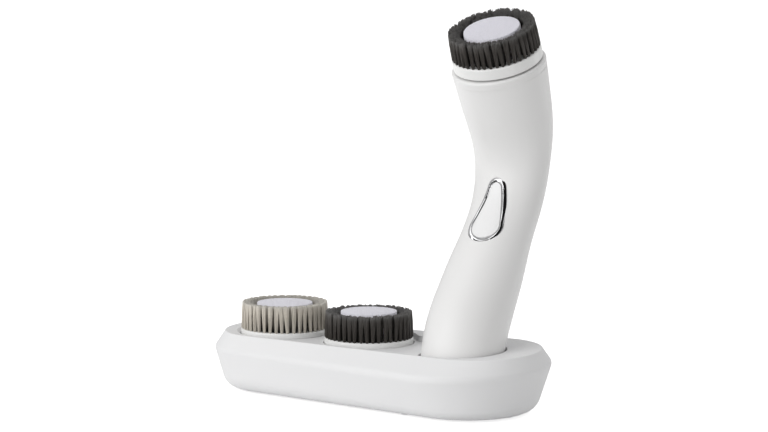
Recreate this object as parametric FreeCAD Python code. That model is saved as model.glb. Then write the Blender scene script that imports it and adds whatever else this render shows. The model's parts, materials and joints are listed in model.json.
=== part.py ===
import FreeCAD, Part
import math
import os

from FreeCAD import Placement, Rotation, Vector

# Facial cleansing brush on its charging stand, in millimetres.
# +X runs along the stand towards the handle, -Y is the stand's front, +Z is up.
# The origin is on the ground, in the middle of the whole object's footprint.

# ---------------------------------------------------------------- stand, driving sizes
STAND_AXIS_Y = -7.9          # the stand's long axis, which centres the footprint on Y = 0
FOOT_HEIGHT = 1.0            # what the feet lift the stand off the table
BOTTOM_LEFT_X = -58.0        # left and right end circles of each outline, from below up
BOTTOM_LEFT_R = 28.3
BOTTOM_RIGHT_X = 53.5
BOTTOM_RIGHT_R = 32.6
CREASE_LEFT_X = -63.5
CREASE_LEFT_R = 30.0
CREASE_RIGHT_X = 50.6
CREASE_RIGHT_R = 42.9
CREASE_Z = 23.0
RIM_LEFT_X = -63.5
RIM_LEFT_R = 24.6
RIM_RIGHT_X = 59.7
RIM_RIGHT_R = 30.4
RIM_Z = 30.9
RIM_TILT_BACK = 1.7          # degrees, the rim is higher at the back
RIM_TILT_END = 0.6           # degrees, and higher at the handle's end
DECK_Z = 28.6                # floor of the tray
STAND_WALL = 2.2
BOTTOM_FILLET = 9.0
BOTTOM_SETBACK = 7.0         # from the body's sharp bottom edge to where the rounding ends
CREASE_FILLET = 3.5
RIM_FILLET = 0.5
TILT_ROOM = 3.0              # how far the lean takes an outline from its height
LONG_EDGE = 20.0             # an outline's edges are longer than this
LIP = 1.3                    # rim left standing in front of the tray
TRAY_POCKET_R = 24.3         # round pocket of the tray about the dark spare head
TRAY_CONE_REACH = 13.0       # how much the dished pocket about the beige one widens upwards
TRAY_BACK_Y = 15.0           # back wall of the channel between the pockets
TRAY_CORNER_R = 4.0
TRAY_ROOM = 10.0             # height of the cuts that open the tray
PLATE_THICKNESS = 2.0
PLATE_GAP = 0.2
BOSS_FOOTING = 1.0           # how deep the bosses run into the tray's floor

# ---------------------------------------------------------------- spare heads
SPARE_BEIGE_X = -56.8
SPARE_DARK_X = -5.2
WELL_GAP = 0.5
WELL_DEPTH = 3.0
WELL_WALL = 1.8
POST_R = 3.6
POST_HEIGHT = 4.0
POST_FLANGE_R = 6.0
POST_FLANGE = 0.8

# ---------------------------------------------------------------- brush head
COLLAR_R = 22.0
COLLAR_HEIGHT = 5.8
COLLAR_FLOOR = 1.4
COLLAR_EDGE = 1.0
COLLAR_WALL = 1.3
CHANNEL_R = COLLAR_R - COLLAR_WALL
HUB_R = 8.0
HEX_FLATS = 8.0
FIT_GAP = 0.08
HUB_DROP = 0.4               # how far the hub stays below the collar's edge
COLLAR_CHAMFER = 0.4
BRISTLE_HEIGHT = 13.3        # above the collar
TUFTS = 44
BRISTLE_GAP = 0.4            # between the collar's inside and the outer bristles
BRISTLE_FLARE = 1.0          # how much wider the outer bristles are at their tips
BRISTLE_DEPTH = 4.6          # thickness of the outer ring at its foot
BRISTLE_BASE_R = CHANNEL_R - BRISTLE_GAP
BRISTLE_TOP_R = BRISTLE_BASE_R + BRISTLE_FLARE
BRISTLE_INNER_R = BRISTLE_BASE_R - BRISTLE_DEPTH
TUFT_DEPTH = 0.9             # how deep the grooves between tufts are
TUFT_FLAT = 0.46             # share of a tuft's width that its outer face takes
CORE_GAP = 1.8               # between the outer ring and the inner field
CORE_R = BRISTLE_INNER_R - CORE_GAP
CORE_DROP = 0.1              # how far the inner bristles stay below the outer ones
CORE_DOME = 0.4

# ---------------------------------------------------------------- handle
HANDLE_X = 54.5              # where the foot's axis meets the deck
HANDLE_Y = -6.9              # measured from the stand's axis
HANDLE_TURN = 3.0            # degrees about Z, towards the right end
FOOT_LEAN = 15.0             # lean of the centre line towards the back, in degrees
GRIP_LEAN = 35.0
HEAD_LEAN = -22.0
FOOT_RUN = 2.0
HEEL_RADIUS = 58.5
GRIP_RUN = 50.0
BEND_RADIUS = 55.0
NECK_RUN = 27.0
FOOT_DEPTH = 14.0            # how deep the foot stands in the stand
FOOT_R = 19.4
HEEL_AT = 12.0               # distance along the centre line from the deck
HEEL_WIDTH = 20.3            # half widths across, and half depths
HEEL_DEPTH = 19.2
SHIN_AT = 40.0
SHIN_WIDTH = 19.9
SHIN_DEPTH = 16.3
GRIP_AT = 69.0
GRIP_WIDTH = 18.2
GRIP_DEPTH = 12.9
BEND_AT = 97.5
BEND_WIDTH = 19.2
BEND_DEPTH = 14.1
NECK_AT = 126.0
NECK_WIDTH = 22.0
NECK_DEPTH = 19.4
NOSE_R = 23.4
SECTION_STEP = 12.0
SECTION_POINTS = 16
HANDLE_WALL = 2.0
FOOT_FILLET = 2.5
NOSE_FILLET = 1.2
FOOT_CAP_HEIGHT = 4.0
NOSE_HEIGHT = 4.0
SOCKET_GAP = 0.8
SOCKET_WALL = 1.8
REAR_COVER_WIDTH = 24.0
REAR_COVER_LOW = 20.0
REAR_COVER_HIGH = 120.0
REAR_COVER_CORNER = 6.0
REAR_COVER_FRONT = 2.0       # behind the centre line
REAR_COVER_REACH = 28.0
SEAM_GAP = 0.12

# ---------------------------------------------------------------- button
BUTTON_LOW = -10.0           # the ring's end circles along the handle, from the button's station
BUTTON_LOW_R = 9.5
BUTTON_HIGH = 10.0
BUTTON_HIGH_R = 5.0
BEZEL_WIDTH = 2.2
BEZEL_PROUD = 0.7
BEZEL_FILLET = 1.0
BUTTON_PROUD = 0.1
BUTTON_GAP = 0.15
BUTTON_REACH_IN = 5.0        # depths in front of the grip's line that the button's cuts span
BUTTON_REACH_OUT = 40.0
FLANGE_LAP = 0.8
FLANGE_THICKNESS = 0.8
FLANGE_GAP = 0.3
BUTTON_TRAVEL = 0.45
STEM_R = 2.0
STEM_GAP = 0.05              # over the plunger when the pad is at rest

# ---------------------------------------------------------------- inside the handle
BOARD_WIDTH = 19.0
BOARD_THICKNESS = 1.6
BOARD_LOW = -42.0
BOARD_HIGH = 12.0
BOARD_Y = -5.15              # back face of the board, from the grip's centre line
SWITCH_SIZE = 6.0
SWITCH_HEIGHT = 2.2
PLUNGER_R = 1.6
PLUNGER_HEIGHT = 0.6
PLUNGER_GAP = 0.05
PLUNGER_ROOM = 1.1           # depth of the plunger's hole in the switch
BATTERY_R = 6.6
BATTERY_LENGTH = 49.0
BATTERY_Y = 4.1
TERMINAL = 0.8
TERMINAL_R = 2.5
TRIM_GAP = 0.03              # between the chassis and the shell it is trimmed to
CHASSIS_THICKNESS = 1.4
CRADLE_THICKNESS = 1.6
CRADLE_WALL = 1.5
CRADLE_GAP = 0.05
CRADLES = (-42.0, -12.0)
REST_WIDTH = 3.0
REST_X = 7.0
REST_INSET = 3.0
CHIPS = (                    # low and high corner on the board, then height
    (-3.5, 3.5, -18.0, -11.0, 1.2),
    (-7.5, -3.5, -30.0, -24.0, 2.0),
    (1.0, 8.0, -38.0, -33.0, 3.0),
)

# ---------------------------------------------------------------- drive
SPINDLE_R = 4.0
SPINDLE_RISE = 5.0           # how far the hexagon stands out of the nose
HEAD_GAP = 0.8               # between the nose and the collar
SEAL_R = 7.5
SEAL_HEIGHT = 1.8
BEARING_R = 8.0
BEARING_HEIGHT = 4.0
RUNNING_GAP = 0.05
MODULE = 0.5
SUN_TEETH = 12
PLANET_TEETH = 18
RING_TEETH = 48
PLANETS = 3
GEAR_WIDTH = 4.0
GEAR_GAP = 0.3
CARRIER_THICKNESS = 2.4
PIN_R = 1.2
MOTOR_SHAFT_R = 1.0
GEARBOX_WALL = 2.0
GEARBOX_FLOOR = 1.6
MOTOR_R = 12.0
MOTOR_LENGTH = 24.0
MOTOR_NECK = 1.0
MOTOR_NECK_WALL = 1.4
SHAFT_STUB = 4.0             # how far the shaft runs into the can
SPINDLE_FOOT = 0.2           # height of the shoulder under the hexagon
SPIGOT_WALL = 3.0
RING_DEPTH = 2.2             # from the ring's pitch circle to its outside
PIN_MARGIN = 3.0             # carrier beyond the pins' circle

# ---------------------------------------------------------------- charging
COIL_IN_R = 7.0
COIL_OUT_R = 14.5
COIL_HEIGHT = 1.6
FERRITE_R = 15.5
FERRITE_HEIGHT = 0.8
INLET_X = 20.0
INLET_Z = 11.0
INLET_MOUTH_R = 1.8
INLET_PIN_R = 0.65
INLET_BODY_R = 3.6
INLET_LENGTH = 14.0
STAND_BOARD_LENGTH = 36.0
STAND_BOARD_DEPTH = 20.0
STAND_BOARD_THICKNESS = 1.6
STAND_BOARD_SETBACK = 9.8    # from the rear wall
STAND_BOARD_END = 14.0       # beyond the inlet
INLET_SET_IN = 0.6           # mouth of the barrel behind the rear wall
INLET_FLOOR = 2.0
INLET_FOOT = 6.0
INLET_SIDE = 0.6
INLET_BODY_GAP = 0.05
COIL_FLOOR = 1.4             # floor of the foot cap, under the receiving coil
COIL_ROOM = 0.5

# ---------------------------------------------------------------- small parts
SCREW_R = 1.1
SCREW_HEAD_R = 2.2
SCREW_HEAD = 1.2
BOSS_R = 3.6
SCREW_LENGTH = 8.0
SCREW_HEAD_GAP = 0.1
SCREW_GAP = 0.05
BOSS_CLEARANCE = 0.4
PAD_R = 3.0
PAD_POCKET = 0.5
PLATE_BOSSES = ((-66.0, 0.0), (-30.0, 0.0), (20.0, -14.0), (20.0, 14.0))
PADS = ((-60.0, 0.0), (-31.0, -16.0), (-31.0, 16.0), (32.0, -20.5), (32.0, 20.5), (75.0, 0.0))

Z_AXIS = Vector(0, 0, 1)
X_AXIS = Vector(1, 0, 0)


# ================================================================ shared shapes
def cylinder(radius, z0, z1, x=0.0, y=0.0):
    """Round bar along Z between two heights."""
    return Part.makeCylinder(radius, z1 - z0, Vector(x, y, z0))


def tube(outer, inner, z0, z1, x=0.0, y=0.0):
    """Round pipe along Z between two heights."""
    return cylinder(outer, z0, z1, x, y).cut(cylinder(inner, z0 - 1, z1 + 1, x, y))


def block(x0, x1, y0, y1, z0, z1):
    """Box between two corners."""
    return Part.makeBox(x1 - x0, y1 - y0, z1 - z0, Vector(x0, y0, z0))


def join(shapes):
    """One solid from touching or overlapping ones."""
    return shapes[0].fuse(shapes[1:]).removeSplitter()


def group(shapes):
    """Separate solids kept in one node."""
    return Part.makeCompound(shapes)


def revolved(points):
    """Solid of revolution about Z from (radius, height) corners."""
    corners = [Vector(r, 0, z) for r, z in points]
    face = Part.Face(Part.makePolygon(corners + corners[:1]))
    return face.revolve(Vector(0, 0, 0), Z_AXIS, 360)


def hexagon(flats, z0, z1):
    """Hexagonal bar along Z."""
    radius = flats / 2 / math.cos(math.pi / 6)
    corners = [Vector(radius * math.cos(k * math.pi / 3), radius * math.sin(k * math.pi / 3), z0)
               for k in range(6)]
    return Part.Face(Part.makePolygon(corners + corners[:1])).extrude(Vector(0, 0, z1 - z0))


def tapered_outline(x0, r0, x1, r1, z=0.0):
    """Outline round two circles on the X axis: two arcs joined by their common tangents."""
    slope = math.asin((r1 - r0) / (x1 - x0))
    normal = Vector(-math.sin(slope), math.cos(slope), 0)
    mirrored = Vector(normal.x, -normal.y, 0)
    first = Vector(x0, 0, z)
    second = Vector(x1, 0, z)
    back_first = first + normal * r0
    back_second = second + normal * r1
    front_first = first + mirrored * r0
    front_second = second + mirrored * r1
    edges = [
        Part.Arc(back_first, Vector(x0 - r0, 0, z), front_first).toShape(),
        Part.makeLine(front_first, front_second),
        Part.Arc(front_second, Vector(x1 + r1, 0, z), back_second).toShape(),
        Part.makeLine(back_second, back_first),
    ]
    return Part.Wire(edges)


def tapered_prism(x0, r0, x1, r1, z0, z1):
    """Solid with the outline round two circles, between two heights."""
    return Part.Face(tapered_outline(x0, r0, x1, r1, z0)).extrude(Vector(0, 0, z1 - z0))


def edges_where(shape, test):
    """Edges whose bounding box passes a test."""
    return [edge for edge in shape.Edges if test(edge.BoundBox)]


def placed(shape, placement):
    """Copy of a shape moved from its own frame."""
    moved = shape.copy()
    moved.Placement = placement.multiply(moved.Placement)
    return moved


# ================================================================ the handle's centre line
def arc_length(radius, turn):
    return radius * math.radians(abs(turn))


RUNS = (
    (FOOT_RUN, 0.0),
    (arc_length(HEEL_RADIUS, GRIP_LEAN - FOOT_LEAN), GRIP_LEAN - FOOT_LEAN),
    (GRIP_RUN, 0.0),
    (arc_length(BEND_RADIUS, HEAD_LEAN - GRIP_LEAN), HEAD_LEAN - GRIP_LEAN),
    (NECK_RUN, 0.0),
)
HANDLE_TOP = sum(length for length, turn in RUNS)
SECTIONS = (
    (-FOOT_DEPTH, FOOT_R, FOOT_R),
    (HEEL_AT, HEEL_WIDTH, HEEL_DEPTH),
    (SHIN_AT, SHIN_WIDTH, SHIN_DEPTH),
    (GRIP_AT, GRIP_WIDTH, GRIP_DEPTH),
    (BEND_AT, BEND_WIDTH, BEND_DEPTH),
    (NECK_AT, NECK_WIDTH, NECK_DEPTH),
    (HANDLE_TOP, NOSE_R, NOSE_R),
)
GRIP_END = sum(length for length, turn in RUNS[:3])
FOOT_SEAM = -FOOT_DEPTH + FOOT_CAP_HEIGHT
NOSE_SEAM = HANDLE_TOP - NOSE_HEIGHT


def centre_line(s):
    """Y, Z and lean of the centre line, s mm from the deck: straight runs and tangent arcs."""
    y, z, lean = 0.0, 0.0, math.radians(FOOT_LEAN)
    left = s
    for length, turn in RUNS:
        step = min(left, length)
        bend = math.radians(turn) * step / length
        if abs(bend) < 1e-9:
            y += step * math.sin(lean)
            z += step * math.cos(lean)
        else:
            radius = step / bend
            y += radius * (math.cos(lean) - math.cos(lean + bend))
            z += radius * (math.sin(lean + bend) - math.sin(lean))
        lean += bend
        left -= step
        if left <= 0:
            break
    return y, z, lean


def station(s):
    """Frame on the centre line: Z along the handle, -Y towards its front."""
    y, z, lean = centre_line(s)
    return Placement(Vector(0, y, z), Rotation(X_AXIS, -math.degrees(lean)))


def beyond(s, distance):
    """Frame a straight distance past a station, along the centre line's tangent there."""
    return station(s).multiply(Placement(Vector(0, 0, distance), Rotation()))


def half_sizes(s):
    """Half width and half depth at s: cubic through the sections, with Catmull-Rom slopes."""
    rows = SECTIONS
    k = 0
    while k < len(rows) - 2 and s > rows[k + 1][0]:
        k += 1
    before = rows[max(k - 1, 0)]
    low = rows[k]
    high = rows[k + 1]
    after = rows[min(k + 2, len(rows) - 1)]
    span = high[0] - low[0]
    t = (s - low[0]) / span
    sizes = []
    for i in (1, 2):
        slope_low = (high[i] - before[i]) / (high[0] - before[0]) * span
        slope_high = (after[i] - low[i]) / (after[0] - low[0]) * span
        sizes.append((2 * t**3 - 3 * t**2 + 1) * low[i] + (t**3 - 2 * t**2 + t) * slope_low
                     + (3 * t**2 - 2 * t**3) * high[i] + (t**3 - t**2) * slope_high)
    return sizes


def section_wire(s, offset):
    """Closed curve round the handle at s, moved outwards by offset."""
    width, depth = half_sizes(s)
    frame = station(s)
    points = []
    for k in range(SECTION_POINTS):
        angle = 2 * math.pi * k / SECTION_POINTS
        points.append(frame.multVec(Vector((width + offset) * math.cos(angle),
                                           (depth + offset) * math.sin(angle), 0)))
    curve = Part.BSplineCurve()
    curve.interpolate(Points=points, PeriodicFlag=True)
    return Part.Wire(curve.toShape())


def handle_loft(s0, s1, offset=0.0):
    """Smooth body of the handle between two stations."""
    count = max(2, math.ceil((s1 - s0) / SECTION_STEP))
    wires = [section_wire(s0 + (s1 - s0) * k / count, offset) for k in range(count + 1)]
    return Part.makeLoft(wires, True, False)


def handle_form(offset=0.0):
    """The handle between its two end seams; every outside surface is cut from this one form."""
    return handle_loft(FOOT_SEAM, NOSE_SEAM, offset)


def handle_core(gap=0.0):
    """Space inside the handle's wall, a little longer than the form, less a gap."""
    return handle_loft(FOOT_SEAM - 1, NOSE_SEAM + 1, -HANDLE_WALL - gap)


HANDLE_FRAME = Placement(Vector(HANDLE_X, HANDLE_Y, DECK_Z), Rotation(Z_AXIS, HANDLE_TURN))
NOSE_FRAME = station(HANDLE_TOP)
BUTTON_FRAME = station(GRIP_END)


def on_nose(shape):
    """From a frame on top of the nose, Z along the spindle, to the stand's frame."""
    return placed(shape, HANDLE_FRAME.multiply(NOSE_FRAME))


def on_grip(shape):
    """From a frame at the button's station to the stand's frame."""
    return placed(shape, HANDLE_FRAME.multiply(BUTTON_FRAME))


def on_foot(shape):
    """From a frame at the bottom of the foot, Z along its axis, to the stand's frame."""
    return placed(shape, HANDLE_FRAME.multiply(beyond(0, -FOOT_DEPTH)))


# ================================================================ stand
def tilted(wire):
    """An outline of the stand leaned with the rim."""
    wire = wire.copy()
    centre = Vector(0, 0, wire.BoundBox.ZMin)
    wire.rotate(centre, X_AXIS, RIM_TILT_BACK)
    wire.rotate(centre, Vector(0, 1, 0), -RIM_TILT_END)
    return wire


def stand_form(inset=0.0):
    """Boat-shaped body: bottom, crease and rim outlines, all inset by the same amount."""
    bottom = tapered_outline(BOTTOM_LEFT_X, BOTTOM_LEFT_R - inset,
                             BOTTOM_RIGHT_X, BOTTOM_RIGHT_R - inset, FOOT_HEIGHT)
    crease = tilted(tapered_outline(CREASE_LEFT_X, CREASE_LEFT_R - inset,
                                    CREASE_RIGHT_X, CREASE_RIGHT_R - inset, CREASE_Z))
    rim = tilted(tapered_outline(RIM_LEFT_X, RIM_LEFT_R - inset,
                                 RIM_RIGHT_X, RIM_RIGHT_R - inset, RIM_Z))
    return Part.makeLoft([bottom, crease, rim], True, True)


def round_bottomed(inset=0.0):
    """The body with its bottom edge rounded."""
    form = stand_form(inset)
    low = edges_where(form, lambda box: box.ZMax < FOOT_HEIGHT + 0.01)
    return form.makeFillet(BOTTOM_FILLET, low)


def softened_stand():
    """The body with its crease and its rim rounded too."""
    form = round_bottomed()
    crease = edges_where(form, lambda box: CREASE_Z - TILT_ROOM < box.ZMin
                         and box.ZMax < CREASE_Z + TILT_ROOM
                         and max(box.XLength, box.YLength) > LONG_EDGE)
    form = form.makeFillet(CREASE_FILLET, crease)
    rim = edges_where(form, lambda box: box.ZMin > RIM_Z - TILT_ROOM
                      and max(box.XLength, box.YLength) > LONG_EDGE)
    return form.makeFillet(RIM_FILLET, rim)


def plate_outline(inset):
    """Flat of the bottom: where the rounded edge ends, less an inset."""
    edge = BOTTOM_SETBACK + inset
    return BOTTOM_LEFT_X, BOTTOM_LEFT_R - edge, BOTTOM_RIGHT_X, BOTTOM_RIGHT_R - edge


def tray_tool():
    """Space of the tray: pockets about the heads and a channel to the handle, inside the lip."""
    top = DECK_Z + TRAY_ROOM
    spaces = [Part.makeCone(WELL_R, WELL_R + TRAY_CONE_REACH, TRAY_ROOM,
                            Vector(SPARE_BEIGE_X, 0, DECK_Z))]
    spaces.append(cylinder(TRAY_POCKET_R, DECK_Z, top, SPARE_DARK_X))
    spaces.append(block(SPARE_BEIGE_X, HANDLE_X, -CREASE_RIGHT_R, TRAY_BACK_Y, DECK_Z, top))
    space = join(spaces)
    corners = edges_where(space, lambda box: box.ZLength > 5 and box.XLength < 0.01
                          and box.YLength < 0.01 and abs(box.YMin - TRAY_BACK_Y) < 0.01
                          and box.XMin < HANDLE_X - 1)
    space = space.makeFillet(TRAY_CORNER_R, corners)
    inside = tapered_prism(RIM_LEFT_X, RIM_LEFT_R - LIP, RIM_RIGHT_X, RIM_RIGHT_R - LIP,
                           DECK_Z - 1, top + 1)
    return space.common(inside)


def socket_bore(radius, low, high):
    """Round bar along the foot's axis, low and high being distances from the foot's bottom."""
    return on_foot(cylinder(radius, low, high))


SOCKET_R = HEEL_WIDTH + SOCKET_GAP
WELL_R = COLLAR_R + WELL_GAP
WELL_Z = DECK_Z - WELL_DEPTH


def stand_shell():
    """Moulded upper shell with tray, wells, socket cup, screw bosses and the inlet's hole."""
    plate_top = FOOT_HEIGHT + PLATE_THICKNESS
    cavity = round_bottomed(STAND_WALL).common(
        block(-200, 200, -200, 200, plate_top, DECK_Z - STAND_WALL))
    mouth = tapered_prism(*plate_outline(0), FOOT_HEIGHT - 1, plate_top)
    shell = softened_stand().cut([cavity, mouth])
    extras = [cylinder(WELL_R + WELL_WALL, WELL_Z - WELL_WALL, DECK_Z, x)
              for x in (SPARE_BEIGE_X, SPARE_DARK_X)]
    extras.append(socket_bore(SOCKET_R + SOCKET_WALL, -SOCKET_WALL, FOOT_DEPTH))
    extras += [cylinder(BOSS_R, plate_top, DECK_Z - STAND_WALL + BOSS_FOOTING, x, y)
               for x, y in PLATE_BOSSES]
    inside = stand_form(STAND_WALL / 2)
    shell = shell.fuse([extra.common(inside) for extra in extras])
    cuts = [tray_tool(), socket_bore(SOCKET_R, 0, 2 * FOOT_DEPTH)]
    for x in (SPARE_BEIGE_X, SPARE_DARK_X):
        cuts.append(cylinder(WELL_R, WELL_Z, DECK_Z + 1, x))
        cuts.append(cylinder(POST_FLANGE_R, WELL_Z - POST_FLANGE, WELL_Z + 1, x))
    cuts += [cylinder(SCREW_R, 0, plate_top + SCREW_LENGTH, x, y) for x, y in PLATE_BOSSES]
    cuts.append(inlet_bar(INLET_BODY_R, rear_wall_y() - INLET_LENGTH, CREASE_RIGHT_R + 1))
    return shell.cut(cuts).removeSplitter()


def inlet_bar(radius, start, end):
    """Round bar along the inlet's axis, which points out of the back."""
    return Part.makeCylinder(radius, end - start, Vector(INLET_X, start, INLET_Z), Vector(0, 1, 0))


def base_plate():
    """Flat cover under the stand, with pockets for the pads and countersinks for the screws."""
    plate = tapered_prism(*plate_outline(PLATE_GAP), FOOT_HEIGHT, FOOT_HEIGHT + PLATE_THICKNESS)
    holes = [cylinder(PAD_R, 0, FOOT_HEIGHT + PAD_POCKET, x, y) for x, y in PADS]
    holes += [cylinder(SCREW_R, 0, 2 * PLATE_THICKNESS, x, y) for x, y in PLATE_BOSSES]
    holes += [cylinder(SCREW_HEAD_R, 0, FOOT_HEIGHT + SCREW_HEAD, x, y) for x, y in PLATE_BOSSES]
    return plate.cut(holes)


def base_screws():
    """Pan-head screws through the base plate into the shell's bosses."""
    head_top = FOOT_HEIGHT + SCREW_HEAD
    head_low = FOOT_HEIGHT + SCREW_HEAD_GAP
    return group([join([cylinder(SCREW_HEAD_R - SCREW_HEAD_GAP, head_low, head_top, x, y),
                        cylinder(SCREW_R - SCREW_GAP, head_top, head_top + SCREW_LENGTH, x, y)])
                  for x, y in PLATE_BOSSES])


def rubber_feet():
    """Round pads in the plate's pockets."""
    return group([cylinder(PAD_R, 0, FOOT_HEIGHT + PAD_POCKET, x, y) for x, y in PADS])


def head_posts():
    """Studs in the wells that centre the spare heads."""
    return group([join([cylinder(POST_FLANGE_R, WELL_Z - POST_FLANGE, WELL_Z, x),
                        cylinder(POST_R, WELL_Z, WELL_Z + POST_HEIGHT, x)])
                  for x in (SPARE_BEIGE_X, SPARE_DARK_X)])


# ================================================================ charging parts in the stand
def coil_disc(height0, height1, inner, outer):
    """Flat ring square to the foot's axis, heights being distances from the foot's bottom."""
    return on_foot(tube(outer, inner, height0, height1))


STAND_COIL_TOP = -SOCKET_WALL


def stand_coil():
    """Transmitting coil under the socket's floor."""
    return coil_disc(STAND_COIL_TOP - COIL_HEIGHT, STAND_COIL_TOP, COIL_IN_R, COIL_OUT_R)


def stand_ferrite():
    """Ferrite plate under the transmitting coil."""
    top = STAND_COIL_TOP - COIL_HEIGHT
    return on_foot(cylinder(FERRITE_R, top - FERRITE_HEIGHT, top))


def rear_wall_y():
    """Where the inlet's axis leaves the rear wall."""
    ray = Part.makeLine(Vector(INLET_X, 0, INLET_Z), Vector(INLET_X, 80, INLET_Z))
    return ray.common(stand_form()).BoundBox.YMax


def inlet_jack():
    """Barrel of the low-voltage inlet with its centre pin, and the block behind it."""
    front = rear_wall_y() - INLET_SET_IN
    back = front - INLET_LENGTH
    radius = INLET_BODY_R - INLET_BODY_GAP
    barrel = inlet_bar(radius, back, front).cut(
        inlet_bar(INLET_MOUTH_R, back + INLET_FLOOR, front + 1))
    pin = inlet_bar(INLET_PIN_R, back + INLET_FLOOR / 2, front - 1)
    foot = block(INLET_X - radius, INLET_X + radius, back, back + INLET_FOOT,
                 FOOT_HEIGHT + PLATE_THICKNESS + STAND_BOARD_THICKNESS,
                 INLET_Z - INLET_MOUTH_R - INLET_SIDE)
    return join([barrel, pin, foot])


def stand_board():
    """Circuit board of the charger, lying on the base plate under the jack."""
    back = rear_wall_y() - STAND_BOARD_SETBACK
    end = INLET_X + STAND_BOARD_END
    z = FOOT_HEIGHT + PLATE_THICKNESS
    board = block(end - STAND_BOARD_LENGTH, end, back - STAND_BOARD_DEPTH, back,
                  z, z + STAND_BOARD_THICKNESS)
    return board.cut([cylinder(BOSS_R + BOSS_CLEARANCE, 0, INLET_Z, x, y) for x, y in PLATE_BOSSES])


# ================================================================ brush heads
def head_collar():
    """Round cup that carries the bristles; its base is at Z = 0."""
    cup = revolved([(HUB_R, 0), (COLLAR_R - COLLAR_CHAMFER, 0), (COLLAR_R, COLLAR_CHAMFER),
                    (COLLAR_R, COLLAR_HEIGHT), (CHANNEL_R, COLLAR_HEIGHT),
                    (CHANNEL_R, COLLAR_FLOOR), (HUB_R, COLLAR_FLOOR)])
    rim = edges_where(cup, lambda box: box.ZMin > COLLAR_HEIGHT - 0.01
                      and box.XMax > COLLAR_R - 0.1)
    return cup.makeFillet(COLLAR_EDGE, rim)


def head_hub():
    """Boss in the middle of the collar with the hexagonal socket for the spindle."""
    hub = cylinder(HUB_R, 0, COLLAR_HEIGHT - HUB_DROP)
    return hub.cut(hexagon(HEX_FLATS + 2 * FIT_GAP, -1, SPINDLE_RISE - HEAD_GAP))


def tuft_outline(radius, z):
    """Ring of tufts: a flat face to each, with bevelled sides that meet in grooves."""
    groove = radius * (1 - TUFT_DEPTH / BRISTLE_TOP_R)
    corners = []
    for k in range(TUFTS):
        for part, r in ((0, groove), (0.5 - TUFT_FLAT / 2, radius), (0.5 + TUFT_FLAT / 2, radius)):
            angle = 2 * math.pi * (k + part) / TUFTS
            corners.append(Vector(r * math.cos(angle), r * math.sin(angle), z))
    return Part.makePolygon(corners + corners[:1])


def outer_bristles():
    """Tufted ring standing in the collar, a little wider at the tips."""
    low = tuft_outline(BRISTLE_BASE_R, COLLAR_FLOOR)
    high = tuft_outline(BRISTLE_TOP_R, COLLAR_HEIGHT + BRISTLE_HEIGHT)
    ring = Part.makeLoft([low, high], True, True)
    return ring.cut(cylinder(BRISTLE_INNER_R, 0, COLLAR_HEIGHT + BRISTLE_HEIGHT + 1))


def inner_bristles():
    """Round field of fine bristles with a slightly domed top."""
    edge = COLLAR_HEIGHT + BRISTLE_HEIGHT - CORE_DROP - CORE_DOME
    field = cylinder(CORE_R, COLLAR_FLOOR, edge + 3)
    ball_r = (CORE_R**2 + CORE_DOME**2) / (2 * CORE_DOME)
    ball = Part.makeSphere(ball_r, Vector(0, 0, edge + CORE_DOME - ball_r))
    return field.common(ball).cut(cylinder(HUB_R, 0, COLLAR_HEIGHT - HUB_DROP))


def brush_head(name, put):
    """The four pieces of one head, put where it stands."""
    return {
        name + "_collar": put(head_collar()),
        name + "_hub": put(head_hub()),
        name + "_outer_bristles": put(outer_bristles()),
        name + "_inner_bristles": put(inner_bristles()),
    }


def in_well(x):
    """Move a head into the well at x."""
    return lambda shape: placed(shape, Placement(Vector(x, 0, WELL_Z), Rotation()))


def on_spindle(shape):
    """Move a head onto the nose."""
    return on_nose(placed(shape, Placement(Vector(0, 0, HEAD_GAP), Rotation())))


# ================================================================ handle shells
def rear_block(shrink):
    """Space behind the centre line that the rear cover fills."""
    half = REAR_COVER_WIDTH / 2 - shrink
    low = REAR_COVER_LOW + shrink
    high = REAR_COVER_HIGH - shrink
    front = REAR_COVER_FRONT
    back = front + REAR_COVER_REACH
    count = math.ceil((high - low) / SECTION_STEP)
    wires = []
    for k in range(count + 1):
        frame = station(low + (high - low) * k / count)
        corners = [Vector(x, y, 0) for x, y in ((-half, front), (half, front), (half, back),
                                                (-half, back))]
        wires.append(Part.makePolygon([frame.multVec(c) for c in corners + corners[:1]]))
    form = Part.makeLoft(wires, True, False)
    upright = [edge for edge in form.Edges if edge.BoundBox.XLength < 0.01
               and abs(edge.Length - REAR_COVER_REACH) < 0.01]
    return form.makeFillet(REAR_COVER_CORNER, upright)


def teardrop(offset, inner=BUTTON_REACH_IN, outer=BUTTON_REACH_OUT):
    """Bar with the button's outline, along the button's travel, between two depths in front."""
    bar = tapered_prism(BUTTON_LOW, BUTTON_LOW_R + offset, BUTTON_HIGH, BUTTON_HIGH_R + offset,
                        inner, outer)
    outwards = Rotation(Z_AXIS, Vector(-1, 0, 0), Vector(0, -1, 0), "XYZ")
    return placed(bar, BUTTON_FRAME.multiply(Placement(Vector(0, 0, 0), outwards)))


def skin(outside, depth):
    """Layer of the handle between a form moved outwards and a core that far below the surface."""
    return handle_form(outside).cut(handle_core(depth - HANDLE_WALL))


def handle_housing():
    """Curved front shell, open at both ends, behind and at the button."""
    shell = skin(0, HANDLE_WALL).cut([rear_block(0), teardrop(0)])
    return placed(shell, HANDLE_FRAME)


def rear_cover():
    """Panel that closes the back of the housing."""
    return placed(skin(0, HANDLE_WALL).common(rear_block(SEAM_GAP)), HANDLE_FRAME)


def foot_cap():
    """Cup that closes the bottom and carries the receiving coil."""
    cap = cylinder(FOOT_R, 0, FOOT_CAP_HEIGHT)
    cap = cap.makeFillet(FOOT_FILLET, edges_where(cap, lambda box: box.ZMax < 0.01))
    return on_foot(cap.cut(cylinder(FERRITE_R + COIL_ROOM, COIL_FLOOR, FOOT_CAP_HEIGHT + 1)))


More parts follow.
